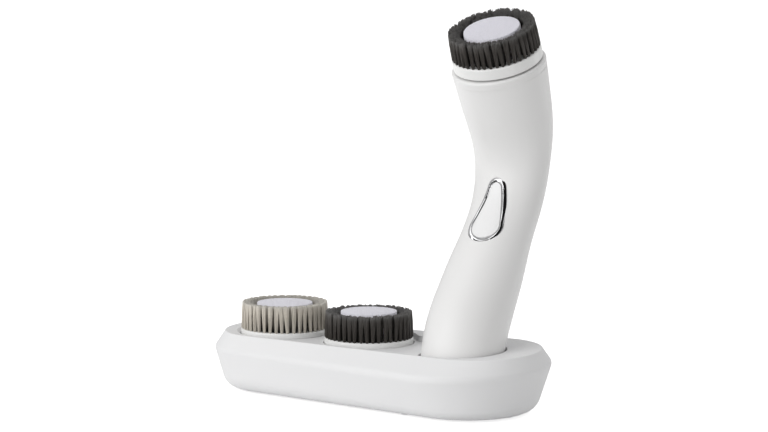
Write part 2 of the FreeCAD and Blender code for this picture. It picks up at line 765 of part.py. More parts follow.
def nose_ring():
    """Top of the handle: rounded rim, seal pocket, bearing bore and a spigot into the gearbox."""
    low = sum(half_sizes(NOSE_SEAM)) / 2
    high = NOSE_R
    ring = revolved([(SEAL_R, 0), (high, 0), (low, -NOSE_HEIGHT), (SPIGOT_R, -NOSE_HEIGHT),
                     (SPIGOT_R, SPIGOT_FLOOR), (BEARING_R, SPIGOT_FLOOR),
                     (BEARING_R, -SEAL_HEIGHT), (SEAL_R, -SEAL_HEIGHT)])
    top = edges_where(ring, lambda box: box.ZMin > -0.01 and box.XMax > high - 0.1)
    return on_nose(ring.makeFillet(NOSE_FILLET, top))


# ================================================================ button
def bezel():
    """Raised metal ring round the button, with a rounded front."""
    ring = teardrop(0).cut(teardrop(-BEZEL_WIDTH, 0, 2 * BUTTON_REACH_OUT))
    ring = ring.common(skin(BEZEL_PROUD, HANDLE_WALL))
    outwards = BUTTON_FRAME.Rotation.multVec(Vector(0, -1, 0))
    curved = [face for face in ring.Faces if isinstance(face.Surface, Part.BSplineSurface)]
    front = max(curved, key=lambda face: face.CenterOfMass.dot(outwards))
    return placed(ring.makeFillet(BEZEL_FILLET, front.Edges), HANDLE_FRAME)


def button_cap():
    """Pad flush in the bezel, with a lap behind it and a stem to the switch."""
    lap_top = HANDLE_WALL + FLANGE_GAP
    lap_floor = lap_top + FLANGE_THICKNESS
    pad = teardrop(-BEZEL_WIDTH - BUTTON_GAP).common(skin(BUTTON_PROUD, lap_floor))
    lap = teardrop(FLANGE_LAP - BEZEL_WIDTH).common(skin(-lap_top, lap_floor))
    depth = half_sizes(GRIP_END)[1]
    tip = switch_top() + STEM_GAP
    stem = button_bar(STEM_R, tip, depth - HANDLE_WALL)
    return placed(join([pad, lap, placed(stem, BUTTON_FRAME)]), HANDLE_FRAME)


def switch_top():
    """How far the plunger's tip stands in front of the grip's centre line."""
    return -BOARD_Y + BOARD_THICKNESS + SWITCH_HEIGHT + PLUNGER_HEIGHT


# ================================================================ electronics
def main_board():
    """Circuit board behind the button."""
    front = BOARD_Y - BOARD_THICKNESS
    return on_grip(block(-BOARD_WIDTH / 2, BOARD_WIDTH / 2, front, BOARD_Y, BOARD_LOW, BOARD_HIGH))


def button_bar(radius, low, high):
    """Round bar along the button's travel, between two depths in front of the grip's line."""
    return Part.makeCylinder(radius, high - low, Vector(0, -low, 0), Vector(0, -1, 0))


def tact_switch():
    """Push switch under the button, with the hole its plunger moves in."""
    front = BOARD_THICKNESS - BOARD_Y
    half = SWITCH_SIZE / 2
    body = block(-half, half, -front - SWITCH_HEIGHT, -front, -half, half)
    hole = button_bar(PLUNGER_R + PLUNGER_GAP, front + SWITCH_HEIGHT - PLUNGER_ROOM,
                      front + 2 * SWITCH_HEIGHT)
    return on_grip(body.cut(hole))


def switch_plunger():
    """Plunger of the switch, which moves with the pad."""
    low = switch_top() - PLUNGER_HEIGHT - PLUNGER_ROOM + BUTTON_TRAVEL + PLUNGER_GAP
    return on_grip(button_bar(PLUNGER_R, low, switch_top()))


def board_parts():
    """Controller, charging coil driver and battery connector on the board."""
    front = BOARD_Y - BOARD_THICKNESS
    return group([on_grip(block(x0, x1, front - height, front, z0, z1))
                  for x0, x1, z0, z1, height in CHIPS])


def battery():
    """Round cell in the grip."""
    cell = cylinder(BATTERY_R, -BATTERY_LENGTH, -TERMINAL, 0, BATTERY_Y)
    cap = cylinder(TERMINAL_R, -TERMINAL, 0, 0, BATTERY_Y)
    return on_grip(join([cell, cap]))


def chassis():
    """Plate between board and cell, trimmed to the housing, with cradles and board rests."""
    back = BATTERY_Y - BATTERY_R - CRADLE_GAP
    front = back - CHASSIS_THICKNESS
    plate = block(-30, 30, front, back, -BATTERY_LENGTH - 2, BOARD_HIGH)
    half = BATTERY_R + CRADLE_WALL
    ribs = [block(-half, half, back, BATTERY_Y + 2, z, z + CRADLE_THICKNESS) for z in CRADLES]
    ribs = [rib.cut(cylinder(BATTERY_R + CRADLE_GAP, -100, 100, 0, BATTERY_Y)) for rib in ribs]
    half = REST_WIDTH / 2
    rests = [block(x - half, x + half, BOARD_Y, front, z - half, z + half)
             for x in (-REST_X, REST_X) for z in (BOARD_LOW + REST_INSET, BOARD_HIGH - REST_INSET)]
    frame = placed(join([plate] + ribs + rests), BUTTON_FRAME)
    return placed(frame.common(handle_core(TRIM_GAP)), HANDLE_FRAME)


# ================================================================ receiving coil
def handle_coil():
    """Receiving coil on the foot cap's floor."""
    return coil_disc(COIL_FLOOR, COIL_FLOOR + COIL_HEIGHT, COIL_IN_R, COIL_OUT_R)


def handle_ferrite():
    """Ferrite plate over the receiving coil."""
    low = COIL_FLOOR + COIL_HEIGHT
    return on_foot(cylinder(FERRITE_R, low, low + FERRITE_HEIGHT))


# ================================================================ drive
def gear(teeth, z0, z1, turn=0.0, inside=False):
    """Spur gear with straight-sided teeth; an inside gear is the tool that cuts a ring."""
    pitch_r = MODULE * teeth / 2
    tip = pitch_r + MODULE * (1.15 if inside else 0.8)
    root = pitch_r - MODULE * (0.8 if inside else 1.15)
    share = 0.56 if inside else 0.42
    corners = []
    for k in range(teeth):
        for part, radius in ((-0.5 * share - 0.09, root), (-0.5 * share + 0.11, tip),
                             (0.5 * share - 0.11, tip), (0.5 * share + 0.09, root)):
            angle = math.radians(turn) + 2 * math.pi * (k + part) / teeth
            corners.append(Vector(radius * math.cos(angle), radius * math.sin(angle), z0))
    return Part.Face(Part.makePolygon(corners + corners[:1])).extrude(Vector(0, 0, z1 - z0))


PLANET_ORBIT = MODULE * (SUN_TEETH + PLANET_TEETH) / 2
BEARING_FLOOR = -SEAL_HEIGHT - BEARING_HEIGHT
SPIGOT_FLOOR = BEARING_FLOOR - GEAR_GAP
SPIGOT_R = BEARING_R + SPIGOT_WALL
CARRIER_TOP = SPIGOT_FLOOR - GEAR_GAP
CARRIER_FLOOR = CARRIER_TOP - CARRIER_THICKNESS
GEAR_TOP = CARRIER_FLOOR - GEAR_GAP
GEAR_FLOOR = GEAR_TOP - GEAR_WIDTH
CARRIER_R = PLANET_ORBIT + PIN_MARGIN
GEARBOX_IN_R = MODULE * RING_TEETH / 2 + RING_DEPTH
GEARBOX_OUT_R = GEARBOX_IN_R + GEARBOX_WALL
GEARBOX_TOP = SPIGOT_FLOOR
GEARBOX_BOTTOM = GEAR_FLOOR - GEAR_GAP
FLANGE_HEIGHT = 1.6
FLANGE_REACH = 2 * GEARBOX_OUT_R


def planet_angles():
    return [360.0 * k / PLANETS for k in range(PLANETS)]


def planet_centre(angle):
    """Axis of one planet, in the nose's frame."""
    turn = math.radians(angle)
    return PLANET_ORBIT * math.cos(turn), PLANET_ORBIT * math.sin(turn)


def spindle():
    """Hexagon, bearing journal, planet carrier and its pins in one turned piece."""
    pieces = [hexagon(HEX_FLATS, SPINDLE_FOOT, SPINDLE_RISE),
              cylinder(SPINDLE_R, CARRIER_TOP, SPINDLE_FOOT)]
    pieces.append(cylinder(CARRIER_R, CARRIER_FLOOR, CARRIER_TOP))
    for angle in planet_angles():
        x, y = planet_centre(angle)
        pieces.append(cylinder(PIN_R, GEAR_FLOOR, CARRIER_FLOOR, x, y))
    return on_nose(join(pieces))


def shaft_seal():
    """Lip seal round the spindle."""
    lip = SPINDLE_R + RUNNING_GAP
    return on_nose(tube(SEAL_R, lip, -SEAL_HEIGHT, -SPINDLE_FOOT))


def output_bearing():
    """Plain bush that carries the spindle."""
    return on_nose(tube(BEARING_R, SPINDLE_R + RUNNING_GAP, BEARING_FLOOR, -SEAL_HEIGHT))


def planet_gear(angle):
    """Planet on its pin, turned so that it meshes with sun and ring."""
    x, y = planet_centre(angle)
    wheel = gear(PLANET_TEETH, GEAR_FLOOR, GEAR_TOP, planet_phase(angle))
    wheel = wheel.cut(cylinder(PIN_R + RUNNING_GAP, GEAR_FLOOR - 1, GEAR_TOP + 1))
    return on_nose(placed(wheel, Placement(Vector(x, y, 0), Rotation())))


def planet_phase(angle):
    """Turn of a planet: one of its tooth gaps faces the sun's tooth on the line of centres."""
    sun_tooth = (angle * SUN_TEETH / 360.0) % 1.0
    return angle + 180.0 + (0.5 + sun_tooth) * 360.0 / PLANET_TEETH


def sun_pinion():
    """Pinion pressed on the motor's shaft."""
    return on_nose(gear(SUN_TEETH, GEAR_FLOOR, GEAR_TOP).cut(
        cylinder(MOTOR_SHAFT_R, GEAR_FLOOR - 1, GEAR_TOP + 1)))


def motor_shaft():
    """Shaft of the motor, with the rotor's stub inside the can."""
    return on_nose(cylinder(MOTOR_SHAFT_R, GEARBOX_BOTTOM - GEARBOX_FLOOR - SHAFT_STUB, GEAR_TOP))


def ring_gear():
    """Fixed ring with inside teeth."""
    ring = cylinder(GEARBOX_IN_R, GEAR_FLOOR, GEAR_TOP)
    return on_nose(ring.cut(gear(RING_TEETH, GEAR_FLOOR - 1, GEAR_TOP + 1, ring_phase(), True)))


def ring_phase():
    """Turn of the ring: a space of the ring meets the first planet's outer tooth."""
    first = planet_phase(0.0) % (360.0 / PLANET_TEETH)
    return first * PLANET_TEETH / RING_TEETH


def gearbox_housing():
    """Cup round the gears, with the flange that hangs it in the neck."""
    cup = tube(GEARBOX_OUT_R, GEARBOX_IN_R, GEARBOX_BOTTOM, GEARBOX_TOP)
    neck_r = MOTOR_SHAFT_R + MOTOR_NECK_WALL + RUNNING_GAP
    floor = tube(GEARBOX_OUT_R, neck_r, GEARBOX_BOTTOM - GEARBOX_FLOOR, GEARBOX_BOTTOM)
    flange = on_nose(tube(FLANGE_REACH, GEARBOX_IN_R, GEARBOX_TOP - FLANGE_HEIGHT, GEARBOX_TOP))
    room = placed(handle_core(), HANDLE_FRAME)
    return join([on_nose(cup), on_nose(floor), flange.common(room)])


def motor():
    """Round direct-current motor under the gearbox."""
    top = GEARBOX_BOTTOM - GEARBOX_FLOOR
    can = cylinder(MOTOR_R, top - MOTOR_LENGTH, top)
    neck = cylinder(MOTOR_SHAFT_R + MOTOR_NECK_WALL, top, top + MOTOR_NECK)
    bore = cylinder(MOTOR_SHAFT_R + RUNNING_GAP, top - SHAFT_STUB - MOTOR_NECK, top + 2)
    return on_nose(join([can, neck]).cut(bore))


# ================================================================ all nodes
def nodes():
    """Every piece by name."""
    pieces = {
        "stand_shell": stand_shell(),
        "base_plate": base_plate(),
        "base_screws": base_screws(),
        "rubber_feet": rubber_feet(),
        "head_posts": head_posts(),
        "stand_coil": stand_coil(),
        "stand_ferrite": stand_ferrite(),
        "stand_board": stand_board(),
        "inlet_jack": inlet_jack(),
        "handle_housing": handle_housing(),
        "rear_cover": rear_cover(),
        "foot_cap": foot_cap(),
        "nose_ring": nose_ring(),
        "button_bezel": bezel(),
        "button_cap": button_cap(),
        "main_board": main_board(),
        "board_parts": board_parts(),
        "tact_switch": tact_switch(),
        "switch_plunger": switch_plunger(),
        "battery": battery(),
        "chassis": chassis(),
        "handle_coil": handle_coil(),
        "handle_ferrite": handle_ferrite(),
        "spindle": spindle(),
        "shaft_seal": shaft_seal(),
        "output_bearing": output_bearing(),
        "sun_pinion": sun_pinion(),
        "motor_shaft": motor_shaft(),
        "ring_gear": ring_gear(),
        "gearbox_housing": gearbox_housing(),
        "motor": motor(),
    }
    for number, angle in enumerate(planet_angles(), 1):
        pieces[f"planet_gear_{number}"] = planet_gear(angle)
    pieces.update(brush_head("fitted_head", on_spindle))
    pieces.update(brush_head("dark_head", in_well(SPARE_DARK_X)))
    pieces.update(brush_head("beige_head", in_well(SPARE_BEIGE_X)))
    return pieces


def main():
    os.makedirs("parts", exist_ok=True)
    for name, shape in nodes().items():
        shape = shape.copy()
        shape.translate(Vector(0, STAND_AXIS_Y, 0))
        shape.exportStep(f"parts/{name}.step")


main()
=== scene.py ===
import json
import math

import bpy
import numpy as np
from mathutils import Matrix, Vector


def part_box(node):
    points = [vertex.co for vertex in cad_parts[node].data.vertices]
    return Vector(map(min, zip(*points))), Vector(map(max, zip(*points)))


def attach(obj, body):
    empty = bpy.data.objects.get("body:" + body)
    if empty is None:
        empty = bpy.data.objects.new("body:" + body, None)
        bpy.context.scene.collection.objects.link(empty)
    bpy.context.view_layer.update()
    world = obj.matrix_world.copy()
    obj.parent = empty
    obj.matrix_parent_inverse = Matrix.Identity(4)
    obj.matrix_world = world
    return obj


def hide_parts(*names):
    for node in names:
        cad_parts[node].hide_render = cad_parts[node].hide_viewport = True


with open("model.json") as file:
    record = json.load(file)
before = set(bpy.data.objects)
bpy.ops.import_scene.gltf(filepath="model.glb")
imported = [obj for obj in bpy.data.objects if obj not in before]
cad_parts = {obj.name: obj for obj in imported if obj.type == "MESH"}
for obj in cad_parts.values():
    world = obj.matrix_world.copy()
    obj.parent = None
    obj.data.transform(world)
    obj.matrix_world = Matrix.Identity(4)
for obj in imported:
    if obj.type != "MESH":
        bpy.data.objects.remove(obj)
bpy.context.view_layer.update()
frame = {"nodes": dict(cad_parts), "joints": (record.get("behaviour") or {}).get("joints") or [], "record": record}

# Facial cleansing brush on its charging stand.
# Shapes are worked out in millimetres and become metres when their mesh is made.
MM = 0.001

# ---------------------------------------------------------------- sizes shared with the solids
COLLAR_HEIGHT = 5.8          # from a head's base to its rim
CHANNEL_R = 20.7             # inside of the collar's rim
HEAD_GAP = 0.8               # between the nose and a fitted collar
BRISTLE_HEIGHT = 13.3        # above the collar
BRISTLE_TOP_R = 21.3         # reach of the outer tufts' tips
BRISTLE_INNER_R = 15.7       # inside of the ring of tufts
CORE_R = 13.9                # of the inner field
CORE_DOME = 0.4              # how much lower the field's edge is than its middle

# ---------------------------------------------------------------- bristles
# rows of tufts: radius, tufts, phase, lowest and highest U (share of painted light: rows further in get less, for
# painted shade between the tufts), how much lower the tips are
TUFT_ROWS = ((20.85, 44, 0.0, 0.85, 1.0, 0.0),
             (18.6, 44, 0.5, 0.25, 0.6, 0.0),
             (16.9, 38, 0.2, 0.0, 0.25, 0.8))
TUFT_R = 0.65                # at its root
TUFT_SPREAD = 2.1            # how much wider a tuft is at its tips
TUFT_SWELL = 0.25            # how far a tuft swells out just above its hole
TUFT_CROWN = 0.4             # how much lower a tuft's outermost tips are than its middle
TUFT_SHIFT = 0.05            # scatter of tufts along their row, in tufts
TUFT_LEAN = 0.35             # scatter of their tips along the row, and half as much across it
TIP_MARGIN = 0.15            # of the tips inside BRISTLE_TOP_R
ROOT_DEPTH = 0.2             # of the tufts in the plate that holds them
PLATE_DROP = 0.1             # of that plate under the collar's rim
PLATE_THICKNESS = 1.2
PLATE_CHAMFER = 0.2
PLATE_SIDES = 96
FILAMENTS = 46               # in a tuft
FILAMENT_R = 0.15
FILAMENT_SCATTER = 0.09      # of its tip
FILAMENT_BOW = 0.04          # scatter of its bow
CORE_PITCH = 0.32            # from strand to strand
CORE_CELL = 0.87             # area that a strand takes, over the square of the pitch
CORE_FILAMENT_R = 0.22
CORE_START = 2.0             # of the strands over the collar's rim
CORE_SCATTER = 0.03          # of their roots and tips
CORE_RAGGED = 0.15           # how much lower some tips are
# share of a strand's length and share of its bow there, ring by ring
BOWED = ((0.0, 0.0), (0.05, 1.0), (0.6, 1.0), (1.0, 0.0))
STRAIGHT = ((0.0, 0.0), (1.0, 0.0))

# ---------------------------------------------------------------- plated ring round the button
RING_LOW = -10.0             # centres of its end circles along the handle
RING_HIGH = 10.0
RING_LOW_R = 9.5             # their radii
RING_HIGH_R = 5.0
RING_STEPS = 48              # points on each arc and each straight side
RING_WIDTH = 2.2
RING_PROUD = 0.85            # crest over the handle's surface
RING_LIP = 0.5               # rounding at its inner edge
RING_LIP_STEPS = 7
RING_CREST = 1.1             # distance of the crest's outer end from the outline
RING_SKIRT = 1.6             # width of the outer side, from the crest down
RING_SKIRT_STEPS = 13
RING_SLOPE = 0.45            # its fall per millimetre at the crest
RING_STEEPER = 0.25          # and its fall with the square of the distance
RING_SINK = 1.0              # of its inner foot under the surface
RING_REACH = 14.0            # half width of the strip of handle that its height is worked out from
FRONT_FACING = 0.3           # least share of a normal out of the front, of a triangle in the strip
FIT_DEGREE = 4               # of the polynomial fitted to those triangles
FIT_UNIT = 10.0              # millimetres that its powers count as one

# ---------------------------------------------------------------- floor
FLOOR_REACH = 6000.0
FLOOR_DROP = 0.05            # under the pads
FLOOR_GREY = 0.85
FLOOR_GLOW = 0.75            # its own light, on the rays that show it

GOLDEN_ANGLE = math.pi * (3 - math.sqrt(5))


# ================================================================ meshes from arrays
def new_piece(name, points, quads, triangles=None, uv=None, smooth=True):
    """Object from arrays: points in millimetres, then the corner numbers of its faces.

    uv, if given, has one pair per point and is copied to every corner that uses the point.
    """
    corners = quads.reshape(-1)
    sizes = np.full(len(quads), 4)
    if triangles is not None:
        corners = np.concatenate([corners, triangles.reshape(-1)])
        sizes = np.concatenate([sizes, np.full(len(triangles), 3)])
    mesh = bpy.data.meshes.new(name)
    mesh.vertices.add(len(points))
    mesh.vertices.foreach_set("co", (points * MM).astype(np.float32).ravel())
    mesh.loops.add(len(corners))
    mesh.loops.foreach_set("vertex_index", corners.astype(np.int32))
    mesh.polygons.add(len(sizes))
    mesh.polygons.foreach_set("loop_start", (np.cumsum(sizes) - sizes).astype(np.int32))
    mesh.polygons.foreach_set("use_smooth", np.full(len(sizes), smooth))
    if uv is not None:
        layer = mesh.uv_layers.new(name="strand")
        layer.data.foreach_set("uv", uv[corners].astype(np.float32).ravel())
    mesh.update(calc_edges=True)
    mesh.validate()
    piece = bpy.data.objects.new(name, mesh)
    bpy.context.collection.objects.link(piece)
    return piece


def closed_grid(name, points, smooth=True):
    """Object from a grid of points that closes on itself both ways, rows then columns."""
    rows, columns = points.shape[:2]
    here = np.arange(rows)[:, None] * columns
    ahead = (np.arange(rows)[:, None] + 1) % rows * columns
    step = np.arange(columns)[None, :]
    after = (step + 1) % columns
    quads = np.stack([here + step, ahead + step, ahead + after, here + after], -1).reshape(-1, 4)
    return new_piece(name, points.reshape(-1, 3), quads, smooth=smooth)


def finished(piece, material, body, slot, *nodes):
    """Give a new piece its material and its body, and hide the solids it stands for; slot is not used."""
    piece.data.materials.clear()
    piece.data.materials.append(material)
    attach(piece, body)
    if nodes:
        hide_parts(*nodes)
    return piece


# ================================================================ shader expressions
class Value:
    """A node socket that can be used in a Python expression; each operation adds a Math node."""

    def __init__(self, look, socket):
        self.look = look
        self.socket = socket

    def maths(self, operation, *others):
        return self.look.node("Math", {"operation": operation}, dict(enumerate([self, *others])))

    def __add__(self, other):
        return self.maths("ADD", other)

    __radd__ = __add__

    def __mul__(self, other):
        return self.maths("MULTIPLY", other)

    __rmul__ = __mul__

    def __rsub__(self, other):
        return self.look.node("Math", {"operation": "SUBTRACT"}, {0: other, 1: self})

    def __pow__(self, other):
        return self.maths("POWER", other)

    def clamped(self):
        """The value held between 0 and 1."""
        return self.look.node("Clamp", {}, {0: self})

    def beside(self, output):
        """Another output of the same node, by its name."""
        return Value(self.look, self.socket.node.outputs[output])


class Look:
    """The node tree of a material or a world, with one method that adds any node."""

    def __init__(self, owner, end="OutputMaterial"):
        owner.use_nodes = True
        self.owner = owner
        self.tree = owner.node_tree
        self.tree.nodes.clear()
        self.end = self.tree.nodes.new("ShaderNode" + end)

    def node(self, kind, settings, inputs, output=0):
        """Add a node of a type, apply its settings, fill its inputs and return one output."""
        made = self.tree.nodes.new("ShaderNode" + kind)
        for key, setting in settings.items():
            setattr(made, key, setting)
        for key, given in inputs.items():
            if isinstance(given, Value):
                self.tree.links.new(given.socket, made.inputs[key])
            else:
                made.inputs[key].default_value = given
        return Value(self, made.outputs[output])

    def place(self):
        """Object coordinates."""
        return self.node("TexCoord", {}, {}, "Object")

    def noise(self, scale, detail=2.0):
        """Soft noise about 0.5; scale is in waves per metre."""
        return self.node("TexNoise", {}, {"Vector": self.place(), "Scale": scale, "Detail": detail})

    def blend(self, factor, first, second):
        """Colour between two colours."""
        return self.node("Mix", {"data_type": "RGBA"}, {0: factor, 6: first, 7: second}, 2)

    def bump(self, height, distance):
        """Normal for a height given in parts of a distance in metres."""
        return self.node("Bump", {}, {"Height": height, "Distance": distance, "Strength": 1.0})

    def seen(self):
        """1 on rays from the camera, from reflections and through glass, 0 on all others."""
        camera_ray = self.node("LightPath", {}, {}, "Is Camera Ray")
        glossy_ray = camera_ray.beside("Is Glossy Ray")
        return (camera_ray + glossy_ray + camera_ray.beside("Is Transmission Ray")).clamped()

    def closed_with(self, shader):
        """End the tree in a shader and return the material or world."""
        self.tree.links.new(shader.socket, self.end.inputs["Surface"])
        return self.owner

    def surface(self, **sockets):
        """Close the tree with a Principled shader; spaces in socket names are written as _."""
        inputs = {key.replace("_", " "): given for key, given in sockets.items()}
        return self.closed_with(self.node("BsdfPrincipled", {}, inputs))


def material_look(name):
    """Empty look of a new material."""
    return Look(bpy.data.materials.new(name))


def rgba(colour):
    """A colour with full opacity."""
    return (*colour, 1.0)


def shaded(colour, share):
    """A colour made lighter or darker by a share."""
    return rgba([min(1.0, part * share) for part in colour])


# ================================================================ finishes
def moulded(name, colour, roughness, grain=0.00002, tone=0.015):
    """Moulded plastic: fine spark-eroded grain, slow change of tone, small scuffs in the gloss.

    Colour varies by tone either way, roughness by 0.05; grain is the height of the texture.
    """
    look = material_look(name)
    drift = look.noise(14.0)
    scuffs = look.noise(260.0, detail=5.0)
    fine = look.noise(5200.0)
    return look.surface(
        Base_Color=look.blend(drift, shaded(colour, 1 - tone), shaded(colour, 1 + tone)),
        Roughness=roughness - 0.05 + 0.1 * scuffs,
        IOR=1.48,
        Normal=look.bump(fine, grain))


def metal(name, colour, roughness, grain_scale, grain=0.00001):
    """Bare or plated metal with a drawn or turned grain: one noise varies all that it has."""
    look = material_look(name)
    marks = look.noise(grain_scale, detail=4.0)
    return look.surface(
        Base_Color=look.blend(marks, shaded(colour, 0.95), shaded(colour, 1.05)),
        Metallic=1.0,
        Roughness=roughness - 0.04 + 0.08 * marks,
        Normal=look.bump(marks, grain))


def filament(name, root, tip, root_shade, roughness=0.42):
    """Bristle with painted shade: U is 1 on the strands that stand in front and are painted fully lit, V runs from
    root to tip.

    The tip's colour comes in with the 12th power of V. Strands that stand further in, by 1 - U, get painted shade:
    darker by 0.4 of that, and towards the root by the painted root shade given, times that and the power 1.6 of 1
    - V, for the shade that falls between the tufts.
    """
    look = material_look(name)
    front = look.node("SeparateXYZ", {}, {0: look.node("UVMap", {"uv_map": "strand"}, {})}, "X")
    along = front.beside("Y")
    colour = look.blend(along ** 12, rgba(root), rgba(tip))
    inner = 1 - front
    # painted shade: strands further in are darkened, more towards the root, for the shade that falls between the
    # tufts
    painted_lightness = ((1 - 0.4 * inner) * (1 - root_shade * inner * (1 - along) ** 1.6)).clamped()
    grey = look.node("CombineXYZ", {}, {0: painted_lightness, 1: painted_lightness, 2: painted_lightness})
    shaded_colour = look.node("VectorMath", {"operation": "MULTIPLY"}, {0: colour, 1: grey})
    return look.surface(Base_Color=shaded_colour, Roughness=roughness + 0.1 * front, IOR=1.5)


def circuit_board(name, colour):
    """Solder mask with faint tracks under it."""
    look = material_look(name)
    waves = {"Vector": look.place(), "Scale": 260.0, "Distortion": 6.0, "Detail": 1.0}
    tracks = look.node("TexWave", {"bands_direction": "DIAGONAL"}, waves, 1)
    return look.surface(
        Base_Color=look.blend(tracks, shaded(colour, 0.8), shaded(colour, 1.25)),
        Roughness=0.35 + 0.15 * tracks,
        Normal=look.bump(tracks, 0.00003))


def wound(name, colour):
    """Enamelled copper laid in turns."""
    look = material_look(name)
    waves = {"Vector": look.place(), "Scale": 420.0, "Distortion": 1.0}
    turns = look.node("TexWave", {"wave_type": "RINGS"}, waves, 1)
    return look.surface(
        Base_Color=look.blend(turns, shaded(colour, 0.7), shaded(colour, 1.1)),
        Metallic=0.7,
        Roughness=0.3 + 0.15 * turns,
        Normal=look.bump(turns, 0.00008))


FINISHES = {
    "stand_white": moulded("stand white", (0.78, 0.78, 0.785), 0.6),
    "handle_white": moulded("handle white", (0.79, 0.786, 0.78), 0.40, grain=0.000012),
    "base_white": moulded("base white", (0.74, 0.74, 0.74), 0.55, grain=0.00004),
    "button_white": moulded("button white", (0.82, 0.82, 0.82), 0.36, grain=0.000012),
    "collar_white": moulded("collar white", (0.80, 0.80, 0.79), 0.34, grain=0.000012),
    "post_white": moulded("post white", (0.76, 0.76, 0.76), 0.45),
    "inner_white": moulded("inner white", (0.66, 0.66, 0.63), 0.55, grain=0.00004, tone=0.03),
    "gear_white": moulded("gear white", (0.72, 0.70, 0.63), 0.4, tone=0.03),
    "spindle_grey": moulded("spindle grey", (0.42, 0.42, 0.44), 0.45, tone=0.04),
    "ring_chrome": metal("ring chrome", (0.80, 0.80, 0.81), 0.07, 900.0, grain=0.000001),
    "steel": metal("plated steel", (0.55, 0.55, 0.57), 0.34, 1800.0),
    "motor_steel": metal("motor can", (0.52, 0.52, 0.54), 0.38, 1400.0),
    "bush_brass": metal("bush brass", (0.62, 0.46, 0.20), 0.34, 2200.0),
    "coil_copper": wound("coil copper", (0.62, 0.29, 0.14)),
    "ferrite": moulded("ferrite", (0.035, 0.035, 0.04), 0.6, grain=0.00006, tone=0.15),
    "board_green": circuit_board("board green", (0.02, 0.12, 0.045)),
    "chip_black": moulded("chip black", (0.02, 0.02, 0.022), 0.5, grain=0.00003, tone=0.1),
    "jack_black": moulded("jack black", (0.02, 0.02, 0.022), 0.45, grain=0.00003, tone=0.1),
    "cell_wrap": moulded("cell wrap", (0.05, 0.14, 0.32), 0.3, grain=0.00001, tone=0.04),
    "pad_rubber": moulded("pad rubber", (0.40, 0.40, 0.40), 0.75, grain=0.00006, tone=0.05),
    "seal_rubber": moulded("seal rubber", (0.02, 0.02, 0.02), 0.65, grain=0.00006, tone=0.1),
    # bristles: root colour, tip colour, and how strongly painted shade darkens the strands further in towards
    # their roots
    "bristle_dark": filament("dark bristle", (0.053, 0.046, 0.040), (0.175, 0.17, 0.165),
                             root_shade=1.1),
    "bristle_beige": filament("beige bristle", (0.67, 0.62, 0.54), (0.74, 0.71, 0.65),
                              root_shade=1.9),
    "bristle_pale": filament("pale bristle", (0.88, 0.87, 0.92), (0.92, 0.91, 0.97),
                             root_shade=0.0, roughness=0.5),
}


# ================================================================ solids carried over
def joint_named(name):
    """A joint of the frame."""
    return next(joint for joint in frame["joints"] if joint["name"] == name)


def dress_solids():
    """Every solid gets its finish."""
    for part in frame["record"]["subparts"]:
        piece = frame["nodes"][part["node"]]
        piece.data.materials.clear()
        piece.data.materials.append(FINISHES[part["material_slot"]])


# ================================================================ bristles
def strands(name, roots, tips, radius, bulge, keys, shade, seed):
    """Three-sided strands from roots to tips.

    Each strand has a ring of three points at every share of its length in keys, on the straight
    line from root to tip moved by bulge times that ring's share of bow, and a flat tip face.
    shade is one number per strand, kept as U, the share of painted light that the bristle material reads; V is the
    share of the length.
    """
    random = np.random.default_rng(seed)
    count, levels = len(roots), len(keys)
    share, bow = np.array(keys).T
    line = roots[:, None, :] + (tips - roots)[:, None, :] * share[None, :, None]
    line = line + bulge[:, None, :] * bow[None, :, None]
    turn = random.random(count) * 2 * math.pi
    angles = turn[:, None] + np.arange(3) * 2 * math.pi / 3
    ring = np.stack([np.cos(angles), np.sin(angles), np.zeros_like(angles)], -1) * radius
    points = line[:, :, None, :] + ring[:, None, :, :]
    uv = np.stack([np.repeat(shade, levels * 3), np.tile(np.repeat(share, 3), count)], -1)
    first = (np.arange(count) * levels * 3)[:, None, None]
    level = (np.arange(levels - 1) * 3)[None, :, None]
    corner = np.arange(3)
    low = first + level + corner
    ahead = first + level + (corner + 1) % 3
    quads = np.stack([low, ahead, ahead + 3, low + 3], -1).reshape(-1, 4)
    top = first[:, :, 0] + (levels - 1) * 3 + corner
    return new_piece(name, points.reshape(-1, 3), quads, top, uv)


def sunflower(count, radius):
    """Points spread evenly over a disc: the k-th at radius sqrt(k), turned by the golden angle."""
    k = np.arange(count) + 0.5
    out = np.sqrt(k / count) * radius
    return np.stack([out * np.cos(k * GOLDEN_ANGLE), out * np.sin(k * GOLDEN_ANGLE)], -1)


